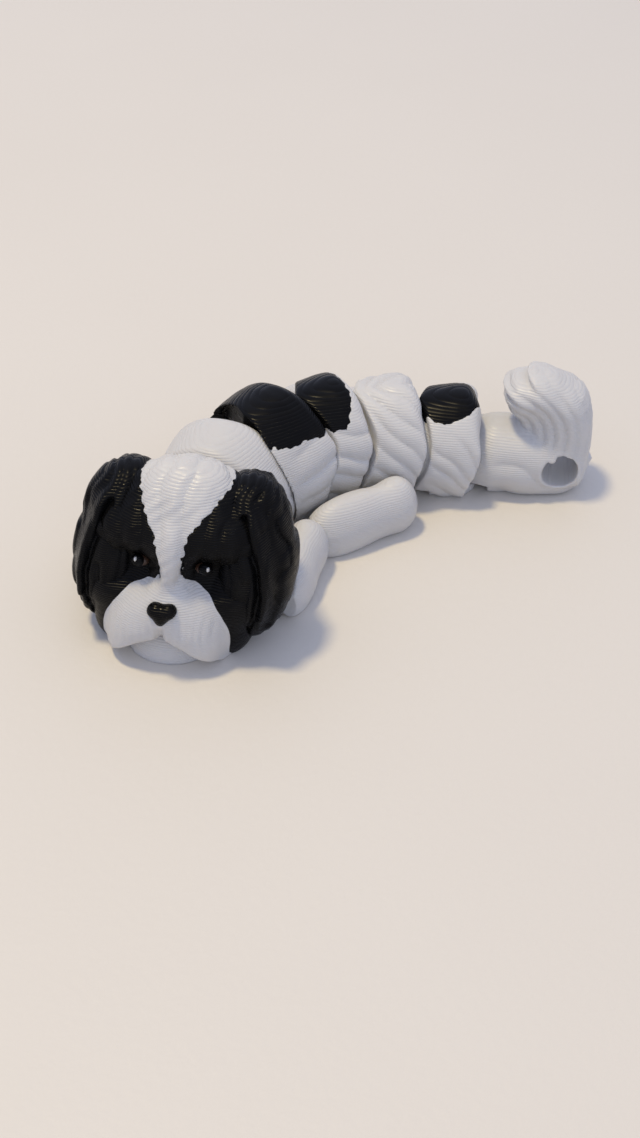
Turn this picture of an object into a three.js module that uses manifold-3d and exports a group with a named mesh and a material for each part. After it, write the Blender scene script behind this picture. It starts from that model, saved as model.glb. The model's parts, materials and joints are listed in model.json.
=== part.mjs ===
// A pocket-size print-in-place flexi dog: seven white links hinged in a row on upright pins,
// with black colour bodies set into them, four small legs and a curled tail with a key-ring hole.
// Millimetres, +Z up. The origin is the middle of the waist link's flat underside, and +X runs
// along the tail. The dog lies curled to its own left, with its head towards -Y.
import * as THREE from 'three';
import { mergeVertices } from 'three/addons/utils/BufferGeometryUtils.js';
import Module from 'manifold-3d';

const wasm = await Module();
wasm.setup();

// ---- driving dimensions ---------------------------------------------------------------------
// Each body link: pitch from its front pin to its rear pin, heading of its axis away from the
// tail's line in degrees, greatest half width, height at the tallest place, and how full the link
// already is just behind its knuckle, as a part of the greatest half width.
const LINKS = {
  shoulder: { pitch: 9.2, heading: 76, half: 9.5, top: 17.6, brow: 0.84 },
  chest: { pitch: 9.4, heading: 53, half: 10.2, top: 18.4, brow: 0.54 },
  waist: { pitch: 8.8, heading: 30, half: 9.2, top: 17.4, brow: 0.66 },
  hips: { pitch: 9.5, heading: 15, half: 9.0, top: 16.2, brow: 0.7 },
  rump: { pitch: 8.9, heading: 6, half: 8.4, top: 14.4, brow: 0.7 },
};
const TAIL = { heading: 0, half: 6.2, top: 10.4, length: 17.7 };
const HEAD_HEADING = 84;

const AXIS_HEIGHT = 0.42;      // height of a link's widest line, as a part of its top
const NECK_RADIUS = 5.1;       // half width of the knuckle at the pin
const NECK_NOSE = 4.4;         // reach of the knuckle in front of the pin
const RIM_REACH = 1.8;         // reach of a link's rear rim behind the pin
const RUFF_REACH = 0.6;        // the same behind the head
const RIM_HALF = 8.35;         // half width of the pocket at that rim
const POCKET_HALF = 6.9;       // half width of the pocket at the pin
const POCKET_DEPTH = 5.1;      // reach of the pocket in front of the pin
const PIN_RADIUS = 1.2;
const EYE_RADIUS = 1.75;       // hole in the knuckle, round the pin
const FLOOR = 1.3;             // thickness under the pocket
const RUNNING_GAP = 0.5;
const SEAM = 0.2;              // gap between two colour bodies of one link
const SKIN = 0.9;              // thickness of a black colour body
const ROUND = 20;              // facets round a link

const HOLE_RADIUS = 2.9;       // key-ring hole
const HOLE_AT = [13.8, 4.9];   // its place behind the tail's pin, and its height

const SKULL = { at: [-10.9, 0, 11.6], radii: [8.1, 11.5, 13.6] };
const MUZZLE = { at: [-16.4, 0, 3.8], radii: [5.6, 8.6, 6.6] };
const EYE_AT = [-16.5, 4.7, 13.9];

const HIND_LEG = { pin: [6.2, 11.5], turn: 20, length: 15.2, width: 6.2, height: 7.6 };
const FRONT_LEG = { pin: [4.2, 12.4], turn: 9, length: 12.6, width: 5.4, height: 7.4 };
const LEG_PIN_RADIUS = 0.9;
const LUG = { radius: 2.1, low: 2.3, high: 4.4, hole: 1.35 };

// ---- solids ---------------------------------------------------------------------------------
function solid(geometry) {
  const bare = geometry.clone();
  bare.deleteAttribute('normal');
  bare.deleteAttribute('uv');
  const merged = mergeVertices(bare, 1e-5);
  const vertProperties = new Float32Array(merged.attributes.position.array);
  const triVerts = new Uint32Array(merged.index.array);
  return new wasm.Manifold(new wasm.Mesh({ numProp: 3, vertProperties, triVerts }));
}

function geometryOf(body) {
  const mesh = body.getMesh();
  const geometry = new THREE.BufferGeometry();
  geometry.setAttribute('position', new THREE.BufferAttribute(new Float32Array(mesh.vertProperties), 3));
  geometry.setIndex(new THREE.BufferAttribute(new Uint32Array(mesh.triVerts), 1));
  geometry.computeVertexNormals();
  return geometry;
}

function join(first, ...others) {
  return others.reduce((sum, other) => sum.add(other), first);
}

function box(low, high) {
  const size = high.map((value, i) => value - low[i]);
  const geometry = new THREE.BoxGeometry(...size);
  geometry.translate(...high.map((value, i) => (value + low[i]) / 2));
  return solid(geometry);
}

function ellipsoid(at, radii, { tilt = [0, 0, 0], sides = ROUND, bands = 10 } = {}) {
  const geometry = new THREE.SphereGeometry(1, sides, bands);
  geometry.rotateX(Math.PI / 2);
  geometry.scale(...radii);
  const [rollX, rollY, rollZ] = tilt.map(THREE.MathUtils.degToRad);
  geometry.applyMatrix4(new THREE.Matrix4().makeRotationFromEuler(new THREE.Euler(rollX, rollY, rollZ)));
  geometry.translate(...at);
  return solid(geometry);
}

// An upright round post from one height to another.
function post(x, y, radius, low, high, sides = 16) {
  const geometry = new THREE.CylinderGeometry(radius, radius, high - low, sides);
  geometry.rotateX(Math.PI / 2);
  geometry.translate(x, y, (low + high) / 2);
  return solid(geometry);
}

// A round bar across the part, parallel to Y.
function crossBar(x, z, radius, reach, sides = 24) {
  const geometry = new THREE.CylinderGeometry(radius, radius, 2 * reach, sides);
  geometry.translate(x, 0, z);
  return solid(geometry);
}

// A body turned about a line parallel to X. The profile lists [x, half width]; the height is the
// half width times the stretch.
function turned(profile, height, stretch, sides = ROUND) {
  const points = profile.map(([x, radius]) => new THREE.Vector2(radius, x));
  const geometry = new THREE.LatheGeometry(points, sides);
  geometry.rotateZ(-Math.PI / 2);
  geometry.scale(1, 1, stretch);
  geometry.translate(0, 0, height);
  return solid(geometry);
}

// A flat outline in the X-Z plane given a thickness along Y with rounded edges.
function slab(points, low, high, rounding = 0) {
  const shape = new THREE.Shape(points.map(([x, z]) => new THREE.Vector2(x, z)));
  const geometry = new THREE.ExtrudeGeometry(shape, {
    depth: high - low - 2 * rounding,
    bevelEnabled: rounding > 0,
    bevelSize: rounding,
    bevelOffset: -rounding,
    bevelThickness: rounding,
    bevelSegments: 2,
    steps: 1,
  });
  geometry.rotateX(Math.PI / 2);
  geometry.translate(0, high - rounding, 0);
  return solid(geometry);
}

// The same in the Y-Z plane, run along X from one place to another.
function frontPrism(points, low, high) {
  const shape = new THREE.Shape(points.map(([y, z]) => new THREE.Vector2(y, z)));
  const geometry = new THREE.ExtrudeGeometry(shape, { depth: high - low, bevelEnabled: false });
  geometry.applyMatrix4(new THREE.Matrix4().makeBasis(
    new THREE.Vector3(0, 1, 0), new THREE.Vector3(0, 0, 1), new THREE.Vector3(1, 0, 0)));
  geometry.translate(low, 0, 0);
  return solid(geometry);
}

const GROUND = () => box([-60, -60, -60], [60, 60, 0]);

// ---- a body link ----------------------------------------------------------------------------
const axisHeight = (link) => AXIS_HEIGHT * link.top;
const stretchOf = (link) => (link.top - axisHeight(link)) / link.half;

// Outline of a link from its knuckle's nose to its rear rim, drawn inwards by a skin thickness, or
// outwards and past the rim for a cutter.
function linkProfile(link, inset = 0, past = 0) {
  const rim = link.pitch + RIM_REACH + past;
  const full = link.half - inset;
  return [
    [-NECK_NOSE, 0],
    [-NECK_NOSE * 0.86, NECK_RADIUS * 0.5],
    [-NECK_NOSE * 0.5, NECK_RADIUS * 0.86],
    [0, NECK_RADIUS],
    [2.6, NECK_RADIUS * 1.08 - inset],
    [4.2, full * link.brow],
    [5.8, full * (0.6 + link.brow * 0.4)],
    [7.4, full * 0.98],
    [link.pitch, full],
    [rim, full - 0.3],
    [rim, 0],
  ];
}

// The socket behind a link, shaped round the next link's knuckle.
function pocket(link, next, reach = RIM_REACH) {
  const stretch = (stretchOf(next) * NECK_RADIUS + RUNNING_GAP) / POCKET_HALF;
  const pin = link.pitch;
  const profile = [
    [pin - POCKET_DEPTH, 0],
    [pin - POCKET_DEPTH * 0.88, POCKET_HALF * 0.52],
    [pin - POCKET_DEPTH * 0.55, POCKET_HALF * 0.84],
    [pin, POCKET_HALF],
    [pin + reach, RIM_HALF],
    [pin + reach + 1, RIM_HALF + 0.5],
    [pin + reach + 1, 0],
  ];
  const bowl = turned(profile, axisHeight(next), stretch, 18);
  return bowl.subtract(box([-30, -30, -30], [30, 30, FLOOR]));
}

// The upright pin that stands in a socket, from under its floor up into its roof.
function hingePin(link, next) {
  const roof = axisHeight(next) + stretchOf(next) * NECK_RADIUS + RUNNING_GAP + 0.8;
  return post(link.pitch, 0, PIN_RADIUS, FLOOR - 0.6, roof, 12);
}

// Clears the knuckle's underside so that it passes over the socket floor in front of it.
function knuckleRelief() {
  return box([-10, -12, -10], [3.7, 12, FLOOR + RUNNING_GAP]);
}

function linkBody(link, next) {
  const outer = turned(linkProfile(link), axisHeight(link), stretchOf(link));
  const cup = outer.subtract(pocket(link, next)).add(hingePin(link, next));
  return cup
    .subtract(post(0, 0, EYE_RADIUS, -1, link.top + 5, 12))
    .subtract(knuckleRelief())
    .subtract(GROUND());
}

// The outer layer of a link down to a depth. A cutter for it starts well outside the link.
function linkSkin(link, depth, cutter) {
  const outside = cutter ? linkProfile(link, -1, 1) : linkProfile(link);
  const inside = linkProfile(link, depth, 2);
  const [height, stretch] = [axisHeight(link), stretchOf(link)];
  return turned(outside, height, stretch).subtract(turned(inside, height, stretch));
}

// A black saddle: the skin of a link above a line, between two places along it. The recess it
// sits in is a little deeper and wider.
function saddleShape(link, front, rear, left, right, low, grow = 0) {
  const outline = [
    [-left - grow, 40],
    [-left - grow, low[0] + 3.5 - grow],
    [-left + 2.5 - grow, low[0] - grow],
    [right - 2.5 + grow, low[1] - grow],
    [right + grow, low[1] + 3.5 - grow],
    [right + grow, 40],
  ];
  return frontPrism(outline, front - grow, rear + grow).intersect(linkSkin(link, SKIN + grow, grow > 0));
}

// ---- legs -----------------------------------------------------------------------------------
// Leg shapes are drawn on the dog's left, which is -Y, and mirrored for the right.
function sideOf(body, side) {
  return side < 0 ? body : body.mirror([0, 1, 0]);
}

function legPlace(leg) {
  const turn = THREE.MathUtils.degToRad(leg.turn);
  const reach = leg.length / 2 - leg.width * 0.45;
  return [leg.pin[0] - Math.cos(turn) * reach, -leg.pin[1] - Math.sin(turn) * reach];
}

function legBody(leg) {
  const [x, y] = legPlace(leg);
  const round = ellipsoid([x, y, leg.height * 0.36], [leg.length / 2, leg.width / 2, leg.height * 0.64],
    { tilt: [0, 0, leg.turn], sides: 18, bands: 10 });
  const [pinX, pinY] = [leg.pin[0], -leg.pin[1]];
  const haunch = ellipsoid([pinX, pinY, leg.height * 0.4],
    [leg.width * 0.52, leg.width / 2, leg.height * 0.58], { sides: 16 });
  const slotLow = LUG.low - 0.45;
  const slotHigh = LUG.high + 0.45;
  const slot = post(pinX, pinY, LUG.radius + RUNNING_GAP, slotLow, slotHigh)
    .add(box([pinX - 2.7, pinY, slotLow], [pinX + 6, pinY + 6, slotHigh]));
  return join(round, haunch)
    .subtract(slot)
    .add(post(pinX, pinY, LEG_PIN_RADIUS, slotLow - 0.6, slotHigh + 0.6, 10))
    .subtract(GROUND());
}

// The eye on a link's flank that a leg's pin runs in.
function legLug(leg) {
  const [x, y] = [leg.pin[0], -leg.pin[1]];
  const arm = box([x - 1.5, y, LUG.low], [x + 1.5, y + 5, LUG.high]);
  return post(x, y, LUG.radius, LUG.low, LUG.high, 14)
    .add(arm)
    .subtract(post(x, y, LUG.hole, LUG.low - 1, LUG.high + 1, 12));
}

// The flank of a link moved outwards by the running gap, to trim a leg against.
function flankClearance(link) {
  const wide = { ...link, half: link.half + RUNNING_GAP };
  return turned(linkProfile(wide), axisHeight(link), stretchOf(link));
}

function leg(shape, link, side) {
  return sideOf(legBody(shape).subtract(flankClearance(link)), side);
}

function withLugs(body, shape) {
  return join(body, sideOf(legLug(shape), -1), sideOf(legLug(shape), 1));
}

// ---- tail -----------------------------------------------------------------------------------
function tailBody() {
  const height = axisHeight(TAIL);
  const stretch = stretchOf(TAIL);
  const base = turned([
    [-NECK_NOSE, 0],
    [-NECK_NOSE * 0.86, NECK_RADIUS * 0.48],
    [-NECK_NOSE * 0.5, NECK_RADIUS * 0.82],
    [0, NECK_RADIUS * 0.96],
    [4, TAIL.half * 0.97],
    [9, TAIL.half],
    [14, TAIL.half * 0.9],
    [17.2, TAIL.half * 0.72],
    [TAIL.length, TAIL.half * 0.35],
    [TAIL.length, 0],
  ], height, stretch);
  const plume = slab([
    [9, 5], [17.5, 4.2], [18.3, 9], [18.1, 13.2], [16.6, 16.2], [13.4, 18.2], [10, 18.6],
    [8, 17.6], [7.2, 16.6], [5.1, 16], [5.5, 14.6], [7.4, 13.8], [6.4, 12], [7.8, 10.4], [8.6, 8],
  ], -3.2, 3.2, 0.9);
  return join(base, plume)
    .subtract(post(0, 0, EYE_RADIUS, -1, 30, 12))
    .subtract(knuckleRelief())
    .subtract(crossBar(HOLE_AT[0], HOLE_AT[1], HOLE_RADIUS, 20))
    .subtract(GROUND());
}

// ---- head -----------------------------------------------------------------------------------
const skull = (grow = 0) => ellipsoid(SKULL.at, SKULL.radii.map((r) => r + grow), { sides: 24, bands: 14 });
const muzzle = (grow = 0) => join(
  ...[-1, 1].map((side) => ellipsoid([MUZZLE.at[0], side * 3.2, MUZZLE.at[2]],
    [MUZZLE.radii[0] + grow, MUZZLE.radii[1] - 3.2 + grow, MUZZLE.radii[2] + grow], { sides: 18 })));

// The ruff behind the skull, which holds the shoulder's knuckle.
function ruff(grow = 0) {
  const end = RUFF_REACH + grow;
  return turned([
    [-12, 0], [-12, 8 + grow], [-6, 9.2 + grow], [-1, 9.3 + grow], [end, 9 + grow], [end, 0],
  ], axisHeight(LINKS.shoulder), 0.9);
}

function facePatchOutline(side, grow) {
  const outline = [
    [1.7, 12], [1.9, 15.5], [3.6, 20], [5.6, 24], [8, 28], [16, 28], [16, 3], [9.6, 3.4],
    [8.6, 7], [6, 9.9], [3.2, 10.8],
  ];
  return outline.map(([y, z]) => [side * (y + (y < 10 ? -grow : grow)), z + (z < 12 ? -grow : 0)]);
}

function facePatchShape(side, depth, grow = 0) {
  const mask = frontPrism(facePatchOutline(side, grow), -26, -9.5 + grow);
  return skull(grow > 0 ? 1 : 0).subtract(skull(-depth)).intersect(mask);
}

function eyeSocket(side) {
  const [x, y, z] = EYE_AT;
  return ellipsoid([x - 1.8, side * y, z], [1.9, 2.5, 2.1], { tilt: [0, 0, side * 24], sides: 14, bands: 8 });
}

function ear(side) {
  const flap = ellipsoid([-11.6, side * 10, 12], [6.4, 5, 11],
    { tilt: [side * 9, 15, 0], sides: 18, bands: 12 });
  return flap.subtract(skull(SEAM)).subtract(ruff(SEAM)).subtract(muzzle(SEAM)).subtract(GROUND());
}

function noseShape(grow = 0) {
  const outline = [
    [-1.5, 0.9], [-0.8, 1.3], [0.8, 1.3], [1.5, 0.9], [1.2, -0.1], [0.5, -1.1], [-0.5, -1.1], [-1.2, -0.1],
  ];
  const shape = new THREE.Shape(outline.map(([y, z]) => new THREE.Vector2(y, z)));
  const geometry = new THREE.ExtrudeGeometry(shape, {
    depth: 1.2, bevelEnabled: true, bevelSize: 0.3 + grow, bevelThickness: 0.4 + grow, bevelSegments: 2,
  });
  geometry.applyMatrix4(new THREE.Matrix4().makeBasis(
    new THREE.Vector3(0, 1, 0), new THREE.Vector3(0, 0, 1), new THREE.Vector3(1, 0, 0)));
  geometry.translate(-22.2, 0, 9);
  return solid(geometry);
}

function headShell() {
  const link = LINKS.shoulder;
  const block = { pitch: 0 };
  let body = join(skull(), muzzle(), ruff());
  body = body.subtract(pocket(block, link, RUFF_REACH)).add(hingePin(block, link));
  for (const side of [-1, 1]) {
    body = body.subtract(facePatchShape(side, SKIN + SEAM, SEAM)).subtract(eyeSocket(side));
  }
  return body.subtract(noseShape(SEAM)).subtract(GROUND());
}

function facePatch(side) {
  return facePatchShape(side, SKIN).subtract(eyeSocket(side)).subtract(muzzle(SEAM)).subtract(GROUND());
}

// Each eye lies in its socket: a brown ball, a black bead in front of it and a small white dot.
function irisBody(side) {
  const [x, y, z] = EYE_AT;
  return ellipsoid([x - 1.5, side * y, z], [0.9, 1.4, 1.3], { sides: 12, bands: 8 });
}

function pupilBody(side) {
  const [x, y, z] = EYE_AT;
  return ellipsoid([x - 2.85, side * (y - 0.1), z], [0.35, 0.8, 0.8], { sides: 10, bands: 6 });
}

function glintBody(side) {
  const [x, y, z] = EYE_AT;
  return ellipsoid([x - 2.75, side * (y - 0.1) - 0.6, z + 1.05], [0.3, 0.35, 0.35], { sides: 8, bands: 6 });
}

// ---- places ---------------------------------------------------------------------------------
const heading = (degrees) =>
  new THREE.Vector2(1, 0).rotateAround(new THREE.Vector2(), THREE.MathUtils.degToRad(degrees));

// Front pins of every link, worked out from the waist towards both ends. The waist's underside
// is centred on the origin.
const UNDERSIDE_MIDDLE = 6.9;
const pins = {};
pins.waist = heading(LINKS.waist.heading).multiplyScalar(-UNDERSIDE_MIDDLE);
pins.chest = pins.waist.clone().addScaledVector(heading(LINKS.chest.heading), -LINKS.chest.pitch);
pins.shoulder = pins.chest.clone().addScaledVector(heading(LINKS.shoulder.heading), -LINKS.shoulder.pitch);
pins.head = pins.shoulder;
pins.hips = pins.waist.clone().addScaledVector(heading(LINKS.waist.heading), LINKS.waist.pitch);
pins.rump = pins.hips.clone().addScaledVector(heading(LINKS.hips.heading), LINKS.hips.pitch);
pins.tail = pins.rump.clone().addScaledVector(heading(LINKS.rump.heading), LINKS.rump.pitch);
const headings = { head: HEAD_HEADING, tail: TAIL.heading };
for (const name of Object.keys(LINKS)) headings[name] = LINKS[name].heading;

const white = { color: 0xe9e6e0, roughness: 0.42, metalness: 0 };
const black = { color: 0x0d0d0e, roughness: 0.38, metalness: 0 };
const brown = { color: 0x4a2a1a, roughness: 0.35, metalness: 0 };

const group = new THREE.Group();
group.name = 'flexi_dog';

function place(link, name, body, look) {
  const mesh = new THREE.Mesh(geometryOf(body), new THREE.MeshStandardMaterial(look));
  mesh.name = name;
  mesh.position.set(pins[link].x, pins[link].y, 0);
  mesh.rotation.z = THREE.MathUtils.degToRad(headings[link]);
  group.add(mesh);
}

function addSaddledLink(name, next, saddleName, saddle) {
  const link = LINKS[name];
  place(name, name, linkBody(link, next).subtract(saddleShape(link, ...saddle, SEAM)), white);
  place(name, saddleName, saddleShape(link, ...saddle), black);
}

// head
place('head', 'head_shell', headShell(), white);
place('head', 'nose', noseShape(), black);
for (const [side, word] of [[-1, 'left'], [1, 'right']]) {
  place('head', `${word}_face_patch`, facePatch(side), black);
  place('head', `${word}_ear`, ear(side), black);
  place('head', `${word}_iris`, irisBody(side), brown);
  place('head', `${word}_pupil`, pupilBody(side), black);
  place('head', `${word}_glint`, glintBody(side), white);
}

// body links
place('shoulder', 'shoulder', withLugs(linkBody(LINKS.shoulder, LINKS.chest), FRONT_LEG), white);
addSaddledLink('chest', LINKS.waist, 'chest_saddle', [2.8, 20, 7.8, 9.6, [9.6, 13]]);
addSaddledLink('waist', LINKS.hips, 'waist_saddle', [2.8, 8.9, 8.6, 7.5, [9.6, 12.5]]);
place('hips', 'hips', withLugs(linkBody(LINKS.hips, LINKS.rump), HIND_LEG), white);
addSaddledLink('rump', TAIL, 'rump_patch', [3.4, 10.2, 6.4, 5, [10, 11]]);
place('tail', 'tail', tailBody(), white);

// legs
for (const [side, word] of [[-1, 'left'], [1, 'right']]) {
  place('shoulder', `front_${word}_leg`, leg(FRONT_LEG, LINKS.shoulder, side), white);
  place('hips', `hind_${word}_leg`, leg(HIND_LEG, LINKS.hips, side), white);
}

export default group;
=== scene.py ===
"""The looks of the flexi dog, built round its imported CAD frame.

Every printed piece is modelled as a solid field: a block of space in its body's own frame holds the
distance to the piece's surface, and the surface is taken where that distance is nought. Sizes are
in millimetres until a piece becomes a Blender mesh. A body's own frame has its origin at the body's
front pin, +x towards the tail, and the dog's left on -y.
"""

import functools
import json
import math

import bpy
import numpy as np
import openvdb
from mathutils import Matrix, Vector

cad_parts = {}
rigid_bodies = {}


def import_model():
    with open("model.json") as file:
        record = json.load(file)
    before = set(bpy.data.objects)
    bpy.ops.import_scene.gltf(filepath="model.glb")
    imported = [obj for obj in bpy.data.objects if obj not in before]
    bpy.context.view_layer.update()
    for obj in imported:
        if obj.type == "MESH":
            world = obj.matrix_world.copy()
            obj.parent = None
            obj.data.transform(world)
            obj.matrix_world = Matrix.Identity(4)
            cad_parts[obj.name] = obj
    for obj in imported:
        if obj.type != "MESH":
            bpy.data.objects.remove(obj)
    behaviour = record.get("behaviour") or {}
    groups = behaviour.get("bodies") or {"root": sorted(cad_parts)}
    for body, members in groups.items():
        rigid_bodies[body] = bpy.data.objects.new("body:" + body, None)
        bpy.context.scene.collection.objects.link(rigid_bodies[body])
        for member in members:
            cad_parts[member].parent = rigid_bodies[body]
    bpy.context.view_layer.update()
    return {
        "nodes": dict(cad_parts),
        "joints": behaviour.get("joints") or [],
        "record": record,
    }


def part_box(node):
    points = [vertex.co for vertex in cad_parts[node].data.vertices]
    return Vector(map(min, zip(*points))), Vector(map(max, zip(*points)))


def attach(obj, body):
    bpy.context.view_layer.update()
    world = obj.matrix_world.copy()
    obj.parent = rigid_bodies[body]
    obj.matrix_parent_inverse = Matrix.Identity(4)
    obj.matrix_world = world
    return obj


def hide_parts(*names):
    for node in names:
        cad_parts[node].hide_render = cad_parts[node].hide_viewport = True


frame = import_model()

MM = 0.001
LAYER = 0.28            # height of one printed layer
FINE = 0.19     # grid step of the head
PLAIN = 0.24    # grid step of everything else


# ---- places, from the frame -----------------------------------------------------------------
def hinge(name):
    place = next(j["pos_m"] for j in frame["joints"] if j["name"] == name)
    return np.array(place[:2]) / MM


def centre_of(node):
    low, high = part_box(node)
    return (np.array(low.xy) + np.array(high.xy)) / 2 / MM


class Place:
    """A body's own frame: where its front pin stands and which way its axis runs."""

    def __init__(self, pin, towards):
        along = towards - pin
        self.pin = pin
        self.axis = along / np.linalg.norm(along)

    def to_row(self, points):
        across = np.array([-self.axis[1], self.axis[0]])
        flat = self.pin + points[:, :1] * self.axis + points[:, 1:2] * across
        return np.column_stack([flat, points[:, 2]]) * MM

    def from_row(self, points):
        across = np.array([-self.axis[1], self.axis[0]])
        flat = points[:, :2] / MM - self.pin
        return np.column_stack([flat @ self.axis, flat @ across, points[:, 2] / MM])

    def extent(self, node):
        """Lowest and highest corner of a CAD node in this frame."""
        points = np.array([v.co for v in frame["nodes"][node].data.vertices])
        local = self.from_row(points)
        return local.min(0), local.max(0)


FRONT_PIN = {
    "shoulder": hinge("neck_hinge"),
    "chest": hinge("shoulder_hinge"),
    "waist": hinge("chest_hinge"),
    "hips": hinge("hips_hinge"),
    "rump": hinge("rump_hinge"),
    "tail": hinge("tail_hinge"),
}
CHAIN = list(FRONT_PIN)
PLACE = {name: Place(FRONT_PIN[name], FRONT_PIN[after]) for name, after in zip(CHAIN, CHAIN[1:])}
PLACE["tail"] = Place(FRONT_PIN["tail"], centre_of("tail"))
PLACE["head"] = Place(FRONT_PIN["shoulder"], 2 * FRONT_PIN["shoulder"] - centre_of("nose"))


# ---- solid fields ---------------------------------------------------------------------------
class Block:
    """A block of space in a body's frame, as three axes that broadcast against each other."""

    def __init__(self, low, high, step):
        self.low = np.array(low, float)
        self.step = step
        axes = [np.arange(a, b + step, step, dtype=np.float32) for a, b in zip(low, high)]
        self.x = axes[0][:, None, None]
        self.y = axes[1][None, :, None]
        self.z = axes[2][None, None, :]
        self.shape = tuple(len(axis) for axis in axes)


def mix(a, b, share):
    return a + (b - a) * share


def ramp(value, start, end):
    t = np.clip((value - start) / (end - start), 0, 1)
    return t * t * (3 - 2 * t)


def join(a, b, soft):
    """Union of two fields with a fillet."""
    h = np.clip(0.5 + 0.5 * (b - a) / soft, 0, 1)
    return mix(b, a, h) - soft * h * (1 - h)


def meet(a, b, soft=0.15):
    """What two fields share, with a rounded edge."""
    return -join(-a, -b, soft)


def carve(a, b, soft=0.15):
    """The first field with the second taken away."""
    return meet(a, -b, soft)


def bump(distance, width):
    return np.exp(-(distance / width) ** 2)


def rotated(a, b, degrees):
    c, k = math.cos(math.radians(degrees)), math.sin(math.radians(degrees))
    return c * a + k * b, c * b - k * a


def ellipsoid(s, at, radii, turn=0.0, lean=0.0, nod=0.0):
    """turn is about the upright axis, lean tips the top towards -y and nod tips it back, in degrees."""
    x, y, z = s.x - at[0], s.y - at[1], s.z - at[2]
    if lean:
        y, z = rotated(y, z, lean)
    if nod:
        x, z = rotated(x, z, -nod)
    if turn:
        x, y = rotated(x, y, turn)
    near = np.sqrt((x / radii[0]) ** 2 + (y / radii[1]) ** 2 + (z / radii[2]) ** 2)
    steep = np.sqrt((x / radii[0] ** 2) ** 2 + (y / radii[1] ** 2) ** 2 + (z / radii[2] ** 2) ** 2)
    return near * (near - 1) / np.maximum(steep, 1e-5)


def post(s, x, y, radius, low, high):
    flat = np.hypot(s.x - x, s.y - y) - radius
    return np.maximum(flat, np.maximum(low - s.z, s.z - high))


def union(fields):
    return functools.reduce(np.minimum, fields)


def both(make):
    """Union of a form on the dog's left and right."""
    return np.minimum(make(-1), make(1))


def stretch_distance(u, v, start, end):
    """Distance in a plane to a straight stretch between two points."""
    du, dv = end[0] - start[0], end[1] - start[1]
    t = np.clip(((u - start[0]) * du + (v - start[1]) * dv) / (du * du + dv * dv), 0, 1)
    return np.hypot(u - start[0] - t * du, v - start[1] - t * dv)


def path_distance(u, v, points):
    """Distance in a plane to a line through the points."""
    return union(stretch_distance(u, v, *ends) for ends in zip(points, points[1:]))


def outline_distance(u, v, corners):
    """Signed distance in a plane to a closed outline, negative inside."""
    closed = corners + corners[:1]
    inside = False
    for (u0, v0), (u1, v1) in zip(closed, closed[1:]):
        if v0 != v1:
            crosses = ((v0 > v) != (v1 > v)) & (u < u0 + (v - v0) / (v1 - v0) * (u1 - u0))
            inside = inside ^ crosses
    reach = path_distance(u, v, closed)
    return np.where(inside, -reach, reach)


def ripple(s, seed, wavelength, waves=7):
    """Smooth noise between about -1 and 1: a few waves of seeded directions."""
    rng = np.random.default_rng(seed)
    total = 0
    for _ in range(waves):
        direction = rng.normal(size=3)
        k = direction / np.linalg.norm(direction) * 2 * math.pi / (wavelength * rng.uniform(0.7, 1.4))
        total = total + np.sin(k[0] * s.x + k[1] * s.y + k[2] * s.z + rng.uniform(0, 2 * math.pi))
    return total / math.sqrt(waves * 2)


def strands(phase):
    """Locks of fur across a phase: rounded backs with sharp valleys, from 0 down to -1."""
    return np.abs(np.cos(phase)) ** 0.7 - 1


def smooth_profile(x, stations, blur):
    """A line through [x, value] stations with its corners rounded."""
    places, values = np.array(stations, float).T
    fine = np.arange(places[0] - 4, places[-1] + 4, 0.05)
    raw = np.interp(fine, places, values)
    kernel = bump(np.arange(-3 * blur, 3 * blur + 0.01, 0.05), blur)
    soft = np.convolve(raw, kernel / kernel.sum(), mode="same")
    return np.interp(x, fine, soft), np.interp(x, fine, np.gradient(soft, 0.05))


def turned(x, distance, stations, blur):
    """A shape round an axis: the distance from the axis against a radius that changes along x."""
    radius, slope = smooth_profile(x, stations, blur)
    return (distance - radius) / np.sqrt(1 + slope ** 2)


# ---- meshes and materials -------------------------------------------------------------------
def main_surface(quads, count):
    """The quads of the largest connected surface, without the specks that a jagged border leaves."""
    label = np.arange(count)
    while True:
        before = label.copy()
        np.minimum.at(label, quads.ravel(), np.repeat(label[quads].min(1), 4))
        label = label[label]
        if np.array_equal(label, before):
            break
    owner = label[quads[:, 0]]
    return quads[owner == np.bincount(owner).argmax()]


def mesh_piece(node, field, s, place, body, slot):
    """Takes the surface of a field and puts it on its body in place of a CAD node."""
    grid = openvdb.FloatGrid(float(field.max()))
    grid.copyFromArray(np.array(np.broadcast_to(field, s.shape), dtype=np.float32, order="C"))
    points, quads = grid.convertToQuads(isovalue=0.0)
    used, quads = np.unique(main_surface(quads, len(points)), return_inverse=True)
    points = place.to_row(points[used] * s.step + s.low)
    mesh = bpy.data.meshes.new("look_" + node)
    mesh.from_pydata(points.tolist(), [], quads.reshape(-1, 4).tolist())
    mesh.shade_smooth()
    mesh.materials.append(PLASTICS[slot])
    piece = bpy.data.objects.new("look_" + node, mesh)
    bpy.context.scene.collection.objects.link(piece)
    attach(piece, body)
    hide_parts(node)


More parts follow.
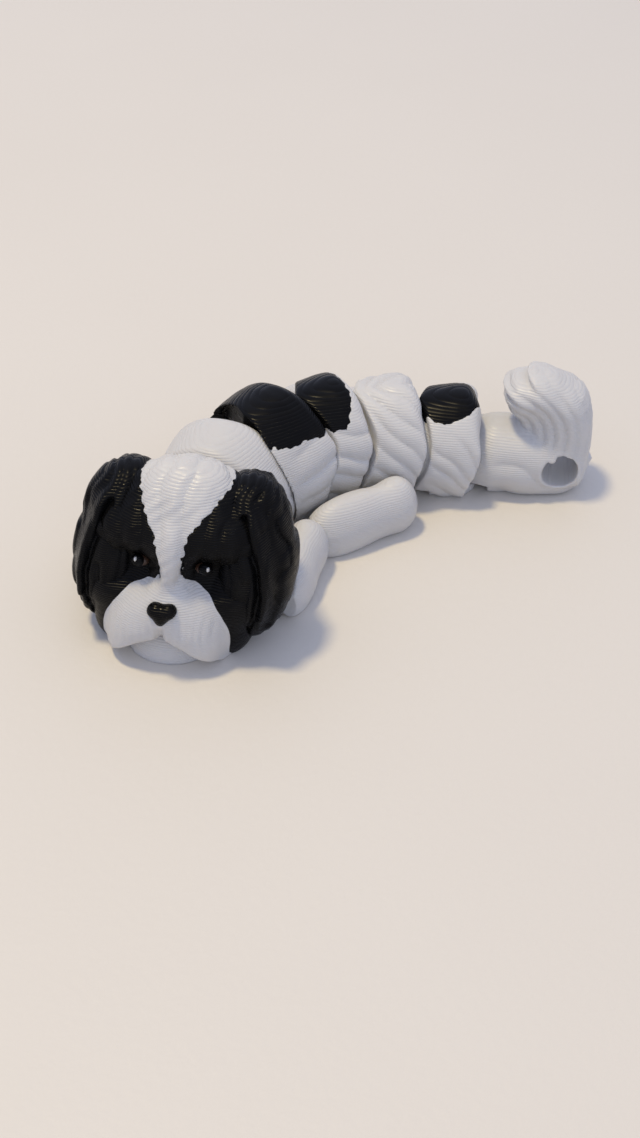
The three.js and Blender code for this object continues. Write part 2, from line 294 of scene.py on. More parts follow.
class Nodes:
    """Short names for building a material's node tree."""

    def __init__(self, name):
        self.material = bpy.data.materials.new(name)
        self.material.use_nodes = True
        self.tree = self.material.node_tree
        self.shader = self.tree.nodes["Principled BSDF"]

    def put(self, kind, inputs=(), **settings):
        node = self.tree.nodes.new(kind)
        for key, value in settings.items():
            setattr(node, key, value)
        for key, value in dict(inputs).items():
            if isinstance(value, bpy.types.NodeSocket):
                self.tree.links.new(value, node.inputs[key])
            else:
                node.inputs[key].default_value = value
        return node.outputs[0]

    def math(self, operation, a, b=0.0, c=0.0):
        return self.put("ShaderNodeMath", {0: a, 1: b, 2: c}, operation=operation)

    def noise(self, where, scale, detail=2.0):
        return self.put("ShaderNodeTexNoise", {"Vector": where, "Scale": scale, "Detail": detail})

    def range(self, value, low, high, to_low, to_high):
        return self.put("ShaderNodeMapRange", {0: value, 1: low, 2: high, 3: to_low, 4: to_high})

    def tint(self, share, a, b):
        node = self.tree.nodes.new("ShaderNodeMix")
        node.data_type = "RGBA"
        self.tree.links.new(share, node.inputs["Factor"])
        node.inputs["A"].default_value = (*a, 1)
        node.inputs["B"].default_value = (*b, 1)
        return next(socket for socket in node.outputs if socket.type == "RGBA")

    def place(self):
        """Where a point lies on its piece, in the piece's own axes."""
        return self.tree.nodes.new("ShaderNodeTexCoord").outputs["Object"]

    def shade(self, key, value):
        socket = self.shader.inputs[key]
        if isinstance(value, bpy.types.NodeSocket):
            self.tree.links.new(value, socket)
        else:
            socket.default_value = value


def printed_plastic(name, dark, light, roughness, depth, glow=0.0, shine=0.5):
    """Filament laid in layers: round beads, a little uneven, each with its own gloss."""
    m = Nodes(name)
    where = m.place()
    split = m.tree.nodes.new("ShaderNodeSeparateXYZ")
    m.tree.links.new(where, split.inputs[0])
    drift = m.math("MULTIPLY", m.noise(where, 90.0, 1.0), 0.10)
    level = m.math("ADD", m.math("DIVIDE", split.outputs["Z"], LAYER * MM), drift)
    across = m.math("MULTIPLY_ADD", m.math("FRACT", level), 2.0, -1.0)
    bead = m.math("SUBTRACT", 1.0, m.math("POWER", m.math("ABSOLUTE", across), 2.4))
    spread = m.put("ShaderNodeMapping", {"Vector": where, "Scale": (220.0, 220.0, 3570.0)})
    patchy = m.noise(spread, 1.0, 1.0)
    grain = m.noise(where, 2600.0, 2.0)
    uneven = m.math("MULTIPLY_ADD", patchy, 0.16, m.math("MULTIPLY", grain, 0.07))
    height = m.math("ADD", bead, uneven)
    normal = m.put("ShaderNodeBump", {"Height": height, "Strength": 1.0, "Distance": depth * MM})
    m.shade("Normal", normal)
    m.shade("Roughness", m.range(patchy, 0.3, 0.7, roughness - 0.09, roughness + 0.12))
    m.shade("Base Color", m.tint(m.noise(where, 160.0, 3.0), dark, light))
    if glow:
        m.shade("Subsurface Weight", glow)
        m.shade("Subsurface Radius", (1.0, 0.86, 0.8))
        m.shade("Subsurface Scale", 1.1 * MM)
    m.shade("IOR", 1.46)
    m.shade("Specular IOR Level", shine)
    return m.material


def white_plastic():
    dark, light = (0.56, 0.55, 0.54), (0.61, 0.60, 0.585)
    return printed_plastic("white_pla", dark, light, roughness=0.4, depth=0.042, glow=0.3)


def black_plastic():
    dark, light = (0.0022, 0.0022, 0.0024), (0.0045, 0.0042, 0.0044)
    return printed_plastic("black_pla", dark, light, roughness=0.25, depth=0.05, shine=0.1)


def brown_plastic():
    dark, light = (0.03, 0.014, 0.008), (0.06, 0.03, 0.018)
    return printed_plastic("brown_pla", dark, light, roughness=0.3, depth=0.02)


PLASTICS = {"white_pla": white_plastic(), "black_pla": black_plastic(), "brown_pla": brown_plastic()}


# ---- body links -----------------------------------------------------------------------------
AXIS_HEIGHT = 0.42      # height of a link's widest line, as a part of its top
NECK_RADIUS = 5.0       # half width of the knuckle at the pin
NECK_NOSE = 4.3         # reach of the knuckle in front of the pin
POCKET_HALF = 6.9       # half width of the socket at the pin
POCKET_DEPTH = 5.1      # reach of the socket in front of the pin
RIM_HALF = 8.35         # half width of the socket at its rim
FLOOR = 1.3             # thickness under the socket
GAP = 0.5               # running gap
PIN_RADIUS = 1.2
PIN_SUNK = 0.8          # how far the pin's top runs into the roof
EYE_RADIUS = 1.75
LEAN = 1.1              # how far the shoulder's dome leans to the dog's right
RIM_SHORT = 3.0         # how much less far back a link reaches at the foot of its flanks
RAGGED = 0.2            # depth of the locks of fur along a rim

CLEAR = 0.16            # least gap between a rim and the link that turns in it
SWING_STEPS = 9         # places at which a joint's swing is sampled for it
RUFF_END = 0.6          # reach of the head's collar behind its pin
SKIN = 0.9              # thickness of the dark filament over the white
SUNK = 0.16             # how far the white lies under it
TAIL_TOP = 10.4         # height of the tail's base, under its plume

# Half widths where legs or the plume hide them on the CAD node.
HIDDEN_HALF = {"shoulder": 9.5, "hips": 9.0, "tail": 6.2}


class Link:
    """Sizes of a body link, measured on its CAD node.

    pitch is the distance between its pins, sweep how fast its rim curves forward down the flanks, and
    bare how much of its neck stays in sight behind the pin.
    """

    def __init__(self, name, colour_node=None):
        low, high = PLACE[name].extent(name)
        if colour_node:
            high = np.maximum(high, PLACE[name].extent(colour_node)[1])
        self.name = name
        self.top = TAIL_TOP if name == "tail" else float(high[2])
        self.rim = float(high[0])
        self.axis = AXIS_HEIGHT * self.top
        after = CHAIN[CHAIN.index(name) + 1] if name != "tail" else None
        self.pitch = float(np.linalg.norm(FRONT_PIN[after] - FRONT_PIN[name])) if after else 0
        self.half = HIDDEN_HALF.get(name, float(high[1]))
        self.stretch = (self.top - self.axis) / self.half
        self.sweep = 0.024 if name in ("chest", "waist") else 0.012
        self.bare = 1.6 if name == "shoulder" else 0


LINKS = {
    "shoulder": Link("shoulder"),
    "chest": Link("chest", "chest_saddle"),
    "waist": Link("waist", "waist_saddle"),
    "hips": Link("hips"),
    "rump": Link("rump", "rump_patch"),
    "tail": Link("tail"),
}


def round_about(s, link):
    """Distance from a link's axis, and the angle round it: 0 at the flank, 90 degrees at the top."""
    up = (s.z - link.axis) / link.stretch
    return np.hypot(s.y, up), np.arctan2(up, np.abs(s.y))


class Seen:
    """A space as another frame sees it."""

    def __init__(self, x, y, z):
        self.x, self.y, self.z = x, y, z


def leaning(s, link):
    """The shoulder's space, which leans more towards its top."""
    return Seen(s.x, s.y - LEAN * ramp(s.z, 2, link.top + 3), s.z)


def rim_line(s, link):
    """Where a link's rear rim stands: towards the ground its flanks reach less far back."""
    drop = np.maximum(0.72 * link.top - s.z, 0)
    short = RIM_SHORT * (1 - np.exp(-link.sweep * drop ** 2))
    return link.rim - short * ramp(np.abs(s.y), 3, 6)


def link_stations(link):
    """How a link's radius grows from the tip of its knuckle back to its rim."""
    rim, half, bare = link.rim, link.half, link.bare
    tip = [(-NECK_NOSE, 0), (-NECK_NOSE * 0.86, NECK_RADIUS * 0.5)]
    knuckle = [(-NECK_NOSE * 0.5, NECK_RADIUS * 0.86)]
    neck = [(bare - 1.2, NECK_RADIUS), (bare - 0.4, NECK_RADIUS * 1.2), (bare + 0.6, half * 0.88)]
    flank = [(2.8, half * 0.93), (5.0, half * 0.97), (7.4, half), (link.pitch, half), (rim + 3, half - 0.4)]
    return tip + knuckle + neck + flank


def link_outside(s, link, fur=0.0):
    """The outer form of a link with its fur, still solid and without a floor."""
    if link.name == "shoulder":
        s = leaning(s, link)
    distance, _ = round_about(s, link)
    return turned(s.x, distance, link_stations(link), 0.4) - fur * ramp(s.x, 2.5, 5.0)


def socket(s, at, after, reach):
    """The hollow behind a body, round the next link's knuckle."""
    height = (after.stretch * NECK_RADIUS + GAP) / POCKET_HALF
    up = (s.z - after.axis) / height
    stations = [
        (at - POCKET_DEPTH, 0), (at - POCKET_DEPTH * 0.88, POCKET_HALF * 0.52),
        (at - POCKET_DEPTH * 0.55, POCKET_HALF * 0.84), (at, POCKET_HALF), (at + reach, RIM_HALF),
        (at + reach + 4, RIM_HALF + 2),
    ]
    return np.maximum(turned(s.x, np.hypot(s.y, up), stations, 0.35), FLOOR - s.z)


def pin_top(after):
    """A pin ends inside the roof over the next link's knuckle."""
    return after.axis + after.stretch * NECK_RADIUS + GAP + PIN_SUNK


def hinge_pin(s, at, after):
    return post(s, at, 0, PIN_RADIUS, FLOOR - 0.6, pin_top(after))


def open_knuckle(s, body, link):
    """Takes the pin's eye and the clearance under the knuckle out of a link."""
    body = carve(body, post(s, 0, 0, EYE_RADIUS, -1, pin_top(link) + GAP))
    step = np.maximum(s.x - 3.7, s.z - FLOOR - GAP)
    return carve(body, step)


def swing(front, rear):
    """How far the front link can turn about the rear one from rest, as two angles in degrees."""
    for joint in frame["joints"]:
        if (joint["parent"], joint["child"]) == (rear, front):
            return joint["range_deg"]
        if (joint["parent"], joint["child"]) == (front, rear):
            low, high = joint["range_deg"]
            return -high, -low
    raise KeyError(front)


def heading(body):
    return math.degrees(math.atan2(PLACE[body].axis[1], PLACE[body].axis[0]))


def swept(s, front, rear, form):
    """All the places that a form of the front body takes up as it turns about the rear body's pin."""
    def placed(turn):
        x, y = rotated(s.x, s.y, heading(front) - heading(rear) + turn)
        return form(Seen(x, y, s.z))
    return union(placed(turn) for turn in np.linspace(*swing(front, rear), SWING_STEPS))


def ruff(s):
    """The head's collar over the shoulder's knuckle, in the head's frame."""
    radius = np.interp(s.x, [-12, -6, -1, RUFF_END], [8, 9.2, 9.3, 9.0])
    return np.maximum(np.hypot(s.y, (s.z - LINKS["shoulder"].axis) / 0.9) - radius, s.x - RUFF_END)


def rear_shell(front, rear):
    """The part of the front body that reaches over the rear link, as a field about their pin."""
    if front == "head":
        return lambda s: np.maximum(ruff(s), -socket(s, 0, LINKS[rear], RUFF_END))
    ahead = LINKS[front]

    def form(s):
        s = Seen(s.x + ahead.pitch, s.y, s.z)
        shell = np.maximum(link_outside(s, ahead), s.x - rim_line(s, ahead))
        return np.maximum(shell, -socket(s, ahead.pitch, LINKS[rear], ahead.rim - ahead.pitch))
    return form


def link_solid(s, link, after, fur, scallop):
    """A whole link, with its fur, its ragged rim, the socket for the next link, the pin and the eye."""
    body = link_outside(s, link, fur)
    rounding = 0.4 + 1.8 * ramp(s.z, 0.6 * link.top, 0.95 * link.top)
    body = meet(body, s.x - (rim_line(s, link) + scallop), rounding)
    front = ["head", *CHAIN][CHAIN.index(link.name)]
    body = carve(body, swept(s, front, link.name, rear_shell(front, link.name)) - CLEAR, 0.25)
    body = carve(body, socket(s, link.pitch, after, link.rim - link.pitch), 0.2)
    body = np.minimum(body, np.maximum(hinge_pin(s, link.pitch, after), body - 3))
    body = open_knuckle(s, body, link)
    return meet(body, -s.z, 0.35)


def jag(s, seed, reach):
    """How far a colour border wanders, one step to each layer."""
    snapped = Seen(s.x, s.y, np.floor(s.z / LAYER) * LAYER)
    return ripple(snapped, seed, 1.1, 7) * reach


def two_colours(solid, region):
    """Splits a solid into the light core, and a dark skin over it where the region is negative."""
    core = solid + SUNK * ramp(-region, 0.05, 0.5)
    skin = meet(np.maximum(solid, -solid - SKIN), region, 0.06)
    return core, skin


def combed(s, link, seed, turns, slant, wander=0.6):
    """Locks of fur that sweep back and down over a link's flank."""
    _, angle = round_about(s, link)
    return strands(angle * turns + s.x * slant + ripple(s, seed, 7) * wander)


def shoulder_fur(s, link):
    return 0.22 * combed(s, link, 11, 6, 0.1) * ramp(link.top - s.z, 2, 9)


def chest_fur(s, link):
    return 0.42 * combed(s, link, 12, 9, -0.12) * ramp(link.top - s.z, 0.5, 7)


def waist_fur(s, link):
    return 0.46 * combed(s, link, 13, 9, 0.25) * ramp(link.top - s.z, 1, 6)


def hips_fur(s, link):
    return 0.42 * combed(s, link, 14, 7.5, 0.95, 0.8)


def rump_fur(s, link):
    return 0.38 * combed(s, link, 15, 7.5, 0.95, 0.8) * ramp(link.top - s.z, 2, 6)


FUR = {
    "shoulder": shoulder_fur,
    "chest": chest_fur,
    "waist": waist_fur,
    "hips": hips_fur,
    "rump": rump_fur,
}


def scallops(s, link, seed):
    """How far locks of fur run back past the rear rim, at each place round it."""
    _, angle = round_about(s, link)
    side = np.where(s.y < 0, 0.0, 1.7)
    return RAGGED * (np.sin(angle * 6.5 + side) * 0.6 + ripple(s, seed, 5) * 0.4 - 0.5)


def chest_border(s, _link):
    """Negative in the chest's dark saddle: above a line that falls a little towards the rear."""
    return 14.9 - s.x * 0.09 - 3.5 * ramp(s.y, -3, 2) + jag(s, 21, 0.3) - s.z


def waist_border(s, _link):
    """The waist's saddle ends in a slanting line, nearer the rim on the back than on the flanks."""
    low = 13.6 + jag(s, 22, 0.3) - s.z
    rear = (s.x - 7.5 - 0.7 * (s.z - 14.2)) / 1.2 + jag(s, 23, 0.25)
    return meet(low, rear, 1.0)


def rump_border(s, link):
    """An oval patch on the rump's back."""
    x, y = (s.x - 6.1) / 4.6, (s.y + 0.2) / 5.0
    oval = (np.hypot(x, y) - 1) * 4.8 + jag(s, 24, 0.2)
    return np.maximum(oval, 0.6 * link.top - s.z)


BORDERS = {"chest": chest_border, "waist": waist_border, "rump": rump_border}
DARK_NODES = {"chest": "chest_saddle", "waist": "waist_saddle", "rump": "rump_patch"}


LEG_LINK = {"front": "shoulder", "hind": "hips"}
LEG_EYE_HEIGHT = (2.3, 4.4)     # underside and top of the flank eye
LEG_EYE = 2.1                   # its outer radius
LEG_PIN_RADIUS = 0.9
LEG_GAP = 0.45                  # running gap round the eye and the pin


def leg_pin(end):
    """Where the left leg's pin stands in its link's frame; the right one mirrors it."""
    place = PLACE[LEG_LINK[end]]
    pin = hinge(f"{end}_left_leg_hinge")
    return place.from_row(np.array([[pin[0] * MM, pin[1] * MM, 0]]))[0]


def leg_eyes(s, end):
    """The eyes on both flanks of a link, each on an arm, round the legs' pins."""
    x, y, _ = leg_pin(end)
    low, high = LEG_EYE_HEIGHT
    arm = np.maximum(np.abs(s.x - x) - 1.5, np.maximum(low - s.z, s.z - high))
    arm = np.maximum(arm, np.maximum(np.abs(s.y) - abs(y), 6 - np.abs(s.y)))

    def eye(side):
        ring = post(s, x, -side * y, LEG_EYE, low, high)
        return carve(np.minimum(ring, arm), post(s, x, -side * y, LEG_PIN_RADIUS + LEG_GAP, 0, 9))
    return both(eye)


def build_link(name):
    """One link of the body, with its dark saddle or patch where it has one."""
    number = CHAIN.index(name)
    link, after = LINKS[name], LINKS[CHAIN[number + 1]]
    wide = link.half + (5.0 if name in LEG_LINK.values() else 1.0)
    s = Block((-NECK_NOSE - 1, -wide, -0.8), (link.rim + 1, wide, link.top + 0.8), PLAIN)
    ragged = scallops(s, link, 31 + number)
    solid = link_solid(s, link, after, FUR[name](s, link), ragged)
    for end, owner in LEG_LINK.items():
        if owner == name:
            solid = np.minimum(solid, leg_eyes(s, end))
    place = PLACE[name]
    if name in BORDERS:
        solid, skin = two_colours(solid, BORDERS[name](s, link))
        mesh_piece(DARK_NODES[name], skin, s, place, name, "black_pla")
    mesh_piece(name, solid, s, place, name, "white_pla")


# ---- tail -----------------------------------------------------------------------------------
HOLE_RADIUS = 2.55
PLUME_BACK = [(10.5, 4), (17.4, 3), (18.2, 7), (18.0, 11.5), (17.3, 14.4), (16.4, 16.0), (15.0, 17.0)]
PLUME_TOP = [(13.5, 17.5), (12.3, 18.1), (10.8, 18.6), (9.0, 18.7), (7.9, 18.4), (8.1, 17.8), (6.4, 17.5)]
PLUME_FRONT = [(4.7, 16.5), (5.1, 15.4), (5.0, 14.4), (5.9, 12.2), (7.2, 10.4), (9.4, 8.0)]
PLUME = PLUME_BACK + PLUME_TOP + PLUME_FRONT    # seen from the side, [behind the tail's pin, height]
CURL = (5.5, 9.5)       # what the plume's locks curl round


def key_ring_hole():
    """Where the hole's axis crosses the tail: behind the tail's pin, and above the ground."""
    low, high = np.array(frame["record"]["physics"]["openings"][0]["box_m"])
    middle = PLACE["tail"].from_row((low + high)[None] / 2)[0]
    return middle[0], middle[2]


def tail_base(s, link):
    """The low body of the tail, with the knuckle in front."""
    up = (s.z - link.axis) / link.stretch
    half, end = link.half, link.rim
    stations = [
        (-NECK_NOSE, 0), (-NECK_NOSE * 0.86, NECK_RADIUS * 0.48), (-NECK_NOSE * 0.5, NECK_RADIUS * 0.82),
        (0, NECK_RADIUS * 0.96), (4, half * 0.96), (8, half), (end - 4, half * 0.9),
        (end - 1.2, half * 0.72), (end, 0),
    ]
    locks = strands(s.z * 0.55 + s.x * 0.25 + ripple(s, 51, 8) * 0.5)
    return turned(s.x, np.hypot(s.y, up), stations, 0.5) - 0.45 * locks * ramp(s.x, 3, 6)


def tail_plume(s):
    """The fan of hair over the base: thin at its edge, hollow in the middle of each side."""
    swirl = np.hypot(s.x - CURL[0], s.z - CURL[1])
    fan = outline_distance(s.x, s.z, PLUME)
    within = np.clip(-fan / 3.4, 0, 1)
    thick = 4.6 * np.sqrt(1 - (1 - within) ** 2) + 0.3
    hollow = 1.6 * bump(np.hypot(s.x - 9.0, s.z - 11.6), 2.8)
    plume = meet(fan, np.abs(s.y - 0.4) - thick + hollow, 0.9)
    return plume - 0.42 * strands(swirl * 2.0 + ripple(s, 52, 9) * 0.5)


def tail_solid(s):
    link = LINKS["tail"]
    body = join(tail_base(s, link), tail_plume(s), 1.5)
    x, z = key_ring_hole()
    hole = np.hypot(s.x - x, s.z - z) - HOLE_RADIUS
    sagged_thread = np.hypot(s.x - x + 1.3, s.z - z - 2.3) - 0.7
    body = carve(body, carve(hole, sagged_thread, 0.2), 0.4)
    body = open_knuckle(s, body, link)
    return meet(body, -s.z, 0.3)


def build_tail():
    low, high = PLACE["tail"].extent("tail")
    s = Block(low - (0.6, 1.5, 0.8), high + (0.6, 1.5, 1.6), PLAIN)
    mesh_piece("tail", tail_solid(s), s, PLACE["tail"], "tail", "white_pla")


# ---- legs -----------------------------------------------------------------------------------
# How far a leg turns out from its link, how far it reaches before and behind its pin, and its section.
LEG_SHAPE = {
    "hind": {"turn": 20, "front": 14.3, "rear": 3.1, "width": 6.4, "height": 7.8, "slim": 1.0},
    "front": {"turn": 9, "front": 11.6, "rear": 3.1, "width": 5.6, "height": 7.2, "slim": 0.86},
}


def swept_ear(s, word):
    """Where the ear over a front leg swings. The space is always on the dog's left."""
    side = -1 if word == "left" else 1
    true = Seen(s.x, -side * s.y, s.z)
    return swept(true, "head", "shoulder", lambda seen: ear_form(side, slewed(seen)))


def leg_flesh(s, shape, pin):
    """Thigh, calf and paw in one, before the joint is cut."""
    turn = math.radians(shape["turn"])
    forward = -np.array([math.cos(turn), math.sin(turn)])
    tall, half = shape["height"], shape["width"] / 2
    slim = half * shape["slim"]
    toes = pin[:2] + forward * (shape["front"] - 5.2)
    paw = ellipsoid(s, (*toes, tall * 0.33), (5.4, slim, tall * 0.62), shape["turn"])
    middle = pin[:2] + forward * (shape["front"] / 2 - 1.6)
    calf = ellipsoid(s, (*middle, tall * 0.42), (5.6, slim, tall * 0.56), shape["turn"] - 4)
    thigh = ellipsoid(s, (pin[0], pin[1], tall * 0.45), (shape["rear"], half, tall * 0.56))
    return join(join(paw, calf, 1.2), thigh, 2.4)


def leg_slot(s, pin, low, high):
    """The slot that the flank eye and its arm go into."""
    height = np.maximum(low - s.z, s.z - high)
    along = np.maximum(pin[0] - 2.7 - s.x, s.x - pin[0] - 6)
    inward = np.maximum(pin[1] - s.y, s.y - pin[1] - 6)
    arm_way = np.maximum(np.maximum(along, inward), height)
    return np.minimum(post(s, pin[0], pin[1], LEG_EYE + GAP, low, high), arm_way)


def flank_beside(s, link):
    """The link's outside, with a running gap where the leg lies along it."""
    distance, _ = round_about(s, link)
    stations = [(x, r + GAP if r > 6 else r) for x, r in link_stations(link)]
    return turned(s.x, distance, stations, 0.5)


def leg_solid(s, end, word, link):
    pin = leg_pin(end)
    low, high = LEG_EYE_HEIGHT[0] - LEG_GAP, LEG_EYE_HEIGHT[1] + LEG_GAP
    body = carve(leg_flesh(s, LEG_SHAPE[end], pin), leg_slot(s, pin, low, high))
    body = np.minimum(body, post(s, pin[0], pin[1], LEG_PIN_RADIUS, low - 0.6, high + 0.6))
    body = carve(body, flank_beside(s, link), 0.2)
    if end == "front":
        body = carve(body, swept_ear(s, word) - CLEAR, 0.3)
    return meet(body, -s.z, 0.5)


def build_leg(end, word):
    """The right leg mirrors the left one, so its field is made on the left and turned over."""
    link = LINKS[LEG_LINK[end]]
    place = PLACE[LEG_LINK[end]]
    name = f"{end}_{word}_leg"
    low, high = place.extent(f"{end}_left_leg")
    s = Block(low - 1, high + 1, PLAIN)
    field = leg_solid(s, end, word, link)
    if word == "right":
        s.low[1] = -(s.low[1] + (s.shape[1] - 1) * s.step)
        field = field[:, ::-1, :]
    mesh_piece(name, field, s, place, name, "white_pla")


# ---- head -----------------------------------------------------------------------------------
def head_space():
    around = [PLACE["head"].extent(node) for node in ("head_shell", "left_ear", "right_ear", "nose")]
    lows, highs = zip(*around)
    return Block(np.min(lows, 0) - 0.8, np.max(highs, 0) + 0.8, FINE)


def slewed(s):
    """The head sheared sideways: the crown leans to the dog's left and the chin to its right."""
    shift = np.interp(s.z, [2, 9, 14, 20, 24.5], [0.9, 0.1, -0.45, -0.6, -1.3]).astype(np.float32)
    return Seen(s.x, s.y - shift, s.z)


SKULL_AT = (-10.9, 0, 11.6)
SKULL = (8.1, 11.5, 13.6)       # its half length, half width and half height
EYE_AT = (-17.2, 4.2, 14.15)
BLAZE_HEIGHTS = [8, 10.5, 12, 14, 16.5, 19, 20.5, 22, 23.5, 26]
BLAZE_HALF = [5.0, 2.7, 1.6, 1.05, 1.4, 2.1, 3.1, 4.5, 5.9, 7.6]   # the blaze's half width at each


def head_piece(node, field, s, slot):
    mesh_piece(node, field, s, PLACE["head"], "head", slot)


def skull_form(s, true):
    """Crown, brows, cheeks, jaws and the bridge between the hollows of the eyes, with the collar behind."""
    form = ellipsoid(s, SKULL_AT, SKULL)
    brow = both(lambda side: ellipsoid(s, (-14.2, side * 5.6, 17.0), (3.3, 5.0, 3.0)))
    form = join(form, brow, 3.0)
    cheek = both(lambda side: ellipsoid(s, (-15.4, side * 7.4, 8.4), (3.4, 4.2, 3.6)))
    form = join(form, cheek, 2.6)
    jaw = both(lambda side: ellipsoid(s, (-13.6, side * 7.0, 4.0), (5.0, 3.8, 5.8)))
    form = join(form, jaw, 2.0)
    bridge = ellipsoid(s, (-17.0, 0, 14.4), (2.9, 2.2, 5.2))
    form = join(form, bridge, 1.6)
    sockets = both(lambda side: ellipsoid(s, (-20.0, side * 5.4, 13.2), (3.4, 4.0, 2.8), turn=side * 20))
    form = carve(form, sockets, 2.0)
    return join(form, np.maximum(ruff(true), -12 - s.x), 0.8)


def muzzle_form(s):
    """Two hanging lobes with whisker pads under a broad bridge, and the chin behind the mouth's arch."""
    lobes = both(lambda side: ellipsoid(s, (-16.7, side * 3.9, 3.6), (5.3, 4.2, 6.5)))
    bridge = ellipsoid(s, (-17.5, 0, 7.4), (4.5, 4.7, 3.7))
    form = join(lobes, bridge, 2.6)
    form = join(form, ellipsoid(s, (-17.0, -0.3, 9.4), (3.3, 2.8, 2.8)), 2.0)
    pads = both(lambda side: ellipsoid(s, (-20.0, side * 2.7, 5.6), (1.8, 2.2, 1.8)))
    form = join(form, pads, 1.2)
    form = form + 0.45 * bump(s.y, 0.4) * ramp(s.z, 7.6, 6.6) * ramp(s.x, -17, -19)
    whiskers = strands(s.y * 3.2 + ripple(s, 44, 4) * 0.6) * bump(s.z - 6.2, 2.2)
    form = form - 0.13 * whiskers * ramp(s.x, -18, -20)
    form = form - 0.3 * ramp(s.z, 0.9, 0.3)
    mouth = (s.z + 0.085 * s.y ** 2 - 4.7) / np.sqrt(1 + (0.17 * s.y) ** 2)
    form = carve(form, np.maximum(mouth, s.x + 17.0), 0.6)
    chin = ellipsoid(s, (-16.4, 0, 0.2), (4.3, 5.4, 4.6))
    chin = np.maximum(chin, mouth - 0.5)
    return join(form, chin, 0.4)


def head_furrows(s):
    """Fine locks of fur over the face, combed down the blaze and away from it."""
    fan = s.y * 1.35 * (1 + 0.03 * (14 - s.z)) + ripple(s, 41, 6) * 0.9
    fine = ripple(s, 45, 1.3) * 0.06
    return (strands(fan) * 0.26 + fine) * ramp(s.z, 9, 13)


def patch_border(s):
    """Negative in the dark patches round the eyes, either side of the blaze."""
    blaze = np.interp(s.z, BLAZE_HEIGHTS, BLAZE_HALF)
    across = blaze + jag(s, 42, 0.28) - np.abs(s.y + 0.2)
    return np.maximum(across, s.x + 7.5)


def build_head():
    """The head's forms are made in a sheared space, s; its joint stands in the true one."""
    true = head_space()
    s = slewed(true)
    after = LINKS["shoulder"]
    core, skin = two_colours(skull_form(s, true) - head_furrows(s), patch_border(s))
    white = join(core, muzzle_form(s), 1.1)
    white = carve(white, socket(true, 0, after, RUFF_END), 0.2)
    white = np.minimum(white, np.maximum(hinge_pin(true, 0, after), ellipsoid(s, SKULL_AT, SKULL) - 6))
    head_piece("head_shell", meet(white, -s.z, 0.2), true, "white_pla")
    skin = meet(skin, -s.z, 0.2)
    for side, word in ((-1, "left"), (1, "right")):
        head_piece(word + "_face_patch", np.maximum(skin, -side * s.y), true, "black_pla")
        build_ear(side, word, s, true)
        build_eye(side, word, s, true)
    build_nose(s, true)


# Creases of an ear seen from the front, as [outwards, height], then their depth and width.
FOLDS = [
    ([(8.3, 20.5), (9.3, 17.6), (10.4, 14.5), (11.1, 11.0), (10.9, 7.2), (9.6, 2.5)], 0.75, 0.42),
    ([(11.2, 18.8), (12.7, 15.0), (13.3, 10.5), (12.4, 5.0)], 0.45, 0.6),
    ([(9.6, 12.5), (9.4, 8.0), (8.6, 3.5)], 0.45, 0.6),
    ([(9.4, 22.0), (11.6, 19.6), (13.4, 15.5)], 0.3, 0.5),
]
FLAP_EDGE = [(9.4, 20.8), (10.5, 17.8), (11.7, 14.6), (12.3, 11.0), (12.0, 7.2)]


def ear_form(side, s):
    """A hanging flap and its root, without folds. side is -1 on the dog's left."""
    flap = ellipsoid(s, (-11.6, side * 9.1 - 0.2, 11.7), (6.6, 5.5, 10.6), lean=side * 5, nod=12)
    root = ellipsoid(s, (-10.0, side * 7.5, 18.4), (5.4, 4.6, 4.6))
    return join(flap, root, 2.5)


def build_ear(side, word, s, true):
    flap = ear_form(side, s)
    u = s.y * side
    for points, deep, wide in FOLDS:
        flap = flap + deep * bump(path_distance(u, s.z, points), wide)
    flap = flap - 0.45 * bump(path_distance(u, s.z, FLAP_EDGE), 0.6)
    flap = flap - strands(u * 2.4 + s.z * 0.3 + ripple(s, 43 + side, 5) * 1.6) * 0.2
    flap = carve(flap, socket(true, 0, LINKS["shoulder"], 3.0) - 0.6, 0.3)
    head_piece(word + "_ear", meet(flap, 0.15 - s.z, 0.2), true, "black_pla")


def build_eye(side, word, s, true):
    x, y, z = EYE_AT
    iris = ellipsoid(s, (x, side * (y - 0.2), z - 0.1), (0.8, 1.1, 0.75))
    pupil = ellipsoid(s, (x - 0.35, side * (y + 0.1), z + 0.05), (0.75, 0.95, 0.8))
    # The glint is a painted highlight: a small white piece set where each eye shows its reflection of the
    # light, placed apart on each eye.
    glint_aside, glint_up = (-0.55, 0.45) if side < 0 else (0.25, 0.55)
    painted_highlight = ellipsoid(s, (x - 0.8, side * y + glint_aside, z + glint_up), (0.36, 0.22, 0.36))
    head_piece(word + "_iris", iris, true, "brown_pla")
    head_piece(word + "_pupil", pupil, true, "black_pla")
    head_piece(word + "_glint", painted_highlight, true, "white_pla")


def build_nose(s, true):
    top = both(lambda side: ellipsoid(s, (-21.2, side * 0.9, 9.75), (1.1, 1.0, 0.95)))
    middle = ellipsoid(s, (-21.3, 0, 9.5), (1.1, 1.2, 1.05))
    tip = ellipsoid(s, (-21.2, 0, 8.5), (1.0, 0.8, 1.1))
    head_piece("nose", join(join(top, middle, 0.5), tip, 0.9), true, "black_pla")


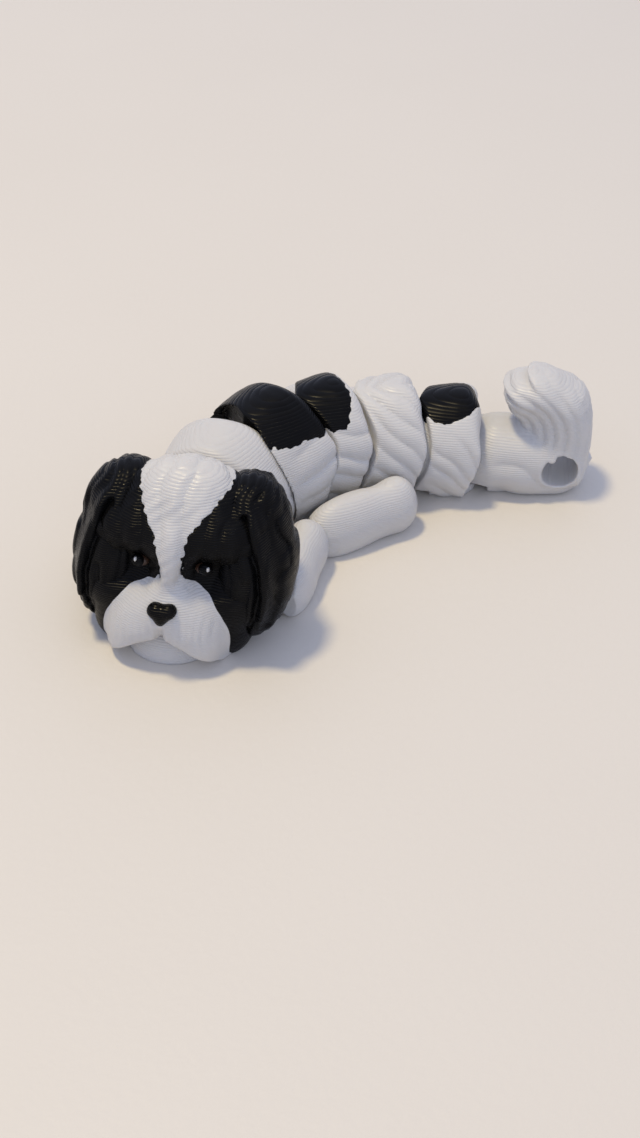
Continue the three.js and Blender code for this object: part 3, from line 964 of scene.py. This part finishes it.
# ---- stage ----------------------------------------------------------------------------------
def floor():
    bpy.ops.mesh.primitive_plane_add(size=3.0)
    plane = bpy.context.object
    plane.name = "table_top"
    m = Nodes("table_laminate")
    where = m.place()
    cloudy = m.noise(where, 14.0, 3.0)
    m.shade("Base Color", m.tint(cloudy, (0.665, 0.625, 0.565), (0.695, 0.655, 0.595)))
    pores = m.noise(where, 900.0, 3.0)
    m.shade("Normal", m.put("ShaderNodeBump", {"Height": pores, "Strength": 0.5, "Distance": 0.0001}))
    m.shade("Roughness", 0.55)
    plane.data.materials.append(m.material)


def lamp(name, where, towards, size, power, colour):
    data = bpy.data.lights.new(name, "AREA")
    data.shape = "DISK"
    data.size = size
    data.energy = power
    data.color = colour
    light = bpy.data.objects.new(name, data)
    light.location = where
    light.rotation_mode = "QUATERNION"
    light.rotation_quaternion = (Vector(towards) - Vector(where)).to_track_quat("-Z", "Y")
    bpy.context.scene.collection.objects.link(light)


def lights():
    """A warm lamp over the head, a weak cool one beside the camera, and a pale blue room."""
    lamp("ceiling", (-0.255, 0.03, 0.96), (0, -0.01, 0), size=0.14, power=5.75, colour=(0.98, 0.81, 0.47))
    lamp("front", (0.35, -0.95, 0.7), (0, 0, 0), size=0.7, power=1.2, colour=(0.9, 0.95, 1.0))
    world = bpy.data.worlds.new("studio")
    world.use_nodes = True
    background = world.node_tree.nodes["Background"]
    background.inputs["Color"].default_value = (0.67, 0.74, 1.0, 1)
    background.inputs["Strength"].default_value = 0.79
    bpy.context.scene.world = world


def camera():
    data = bpy.data.cameras.new("camera")
    data.lens = 47.45
    data.sensor_width = 36
    data.clip_start = 0.01
    eye = bpy.data.objects.new("camera", data)
    eye.location = (0.01755, -0.1756, 0.1318)
    aim = Vector((0.00114, -0.01949, 0.0))
    eye.rotation_mode = "QUATERNION"
    eye.rotation_quaternion = (aim - eye.location).to_track_quat("-Z", "Y")
    bpy.context.scene.collection.objects.link(eye)
    bpy.context.scene.camera = eye
    bpy.context.scene.view_settings.view_transform = "Standard"


for link_name in CHAIN[:-1]:
    build_link(link_name)
build_tail()
for end in LEG_LINK:
    for word in ("left", "right"):
        build_leg(end, word)
build_head()
floor()
lights()
camera()
